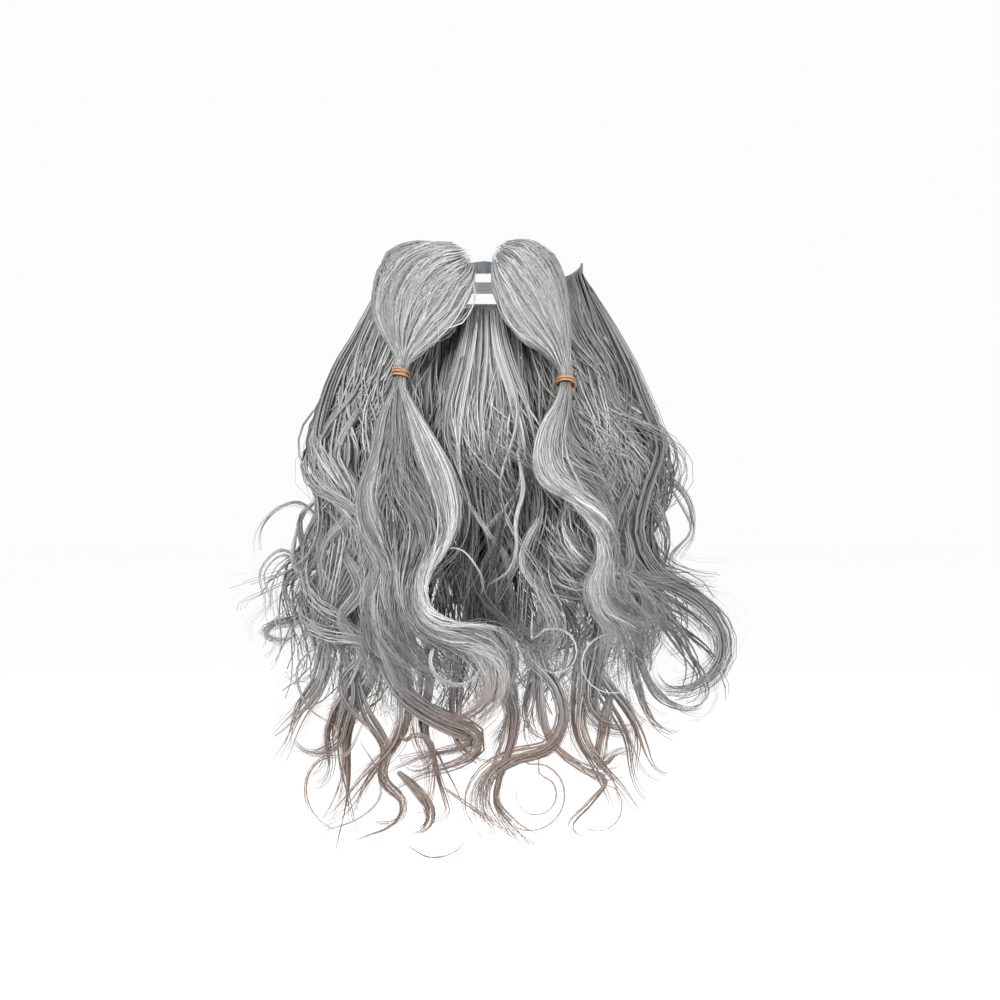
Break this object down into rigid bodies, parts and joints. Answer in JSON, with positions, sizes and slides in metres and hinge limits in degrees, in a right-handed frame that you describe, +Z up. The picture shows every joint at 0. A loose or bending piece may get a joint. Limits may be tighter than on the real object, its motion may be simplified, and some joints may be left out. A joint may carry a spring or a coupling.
{
  "type": "fake beard with moustache",
  "caption": "Long wavy false beard and moustache on a shaped face backing, with tied moustache tails, a mouth opening and an elastic band that holds it on the head.",
  "frame": {"origin": "middle of the mouth opening, on the side of the backing that lies on the skin", "axes": "+Z up along the face, +Y into the wearer's head, +X to the wearer's left; the beard faces -Y"},
  "size_m": [0.3489, 0.254, 0.4528],
  "materials": {
    "hair": "satin silver-grey synthetic fibre, taupe towards the tips",
    "knit": "matt blue-grey knitted mesh",
    "elastic": "matt woven elastic",
    "tie_rubber": "semi-gloss amber rubber"
  },
  "bodies": {
    "root": {"backing": "knit", "head_strap": "elastic", "chin_hair": "hair", "side_hair_right": "hair", "side_hair_left": "hair", "moustache_right": "hair", "moustache_left": "hair", "tie_right": "tie_rubber", "tie_left": "tie_rubber"}
  },
  "joints": []
}
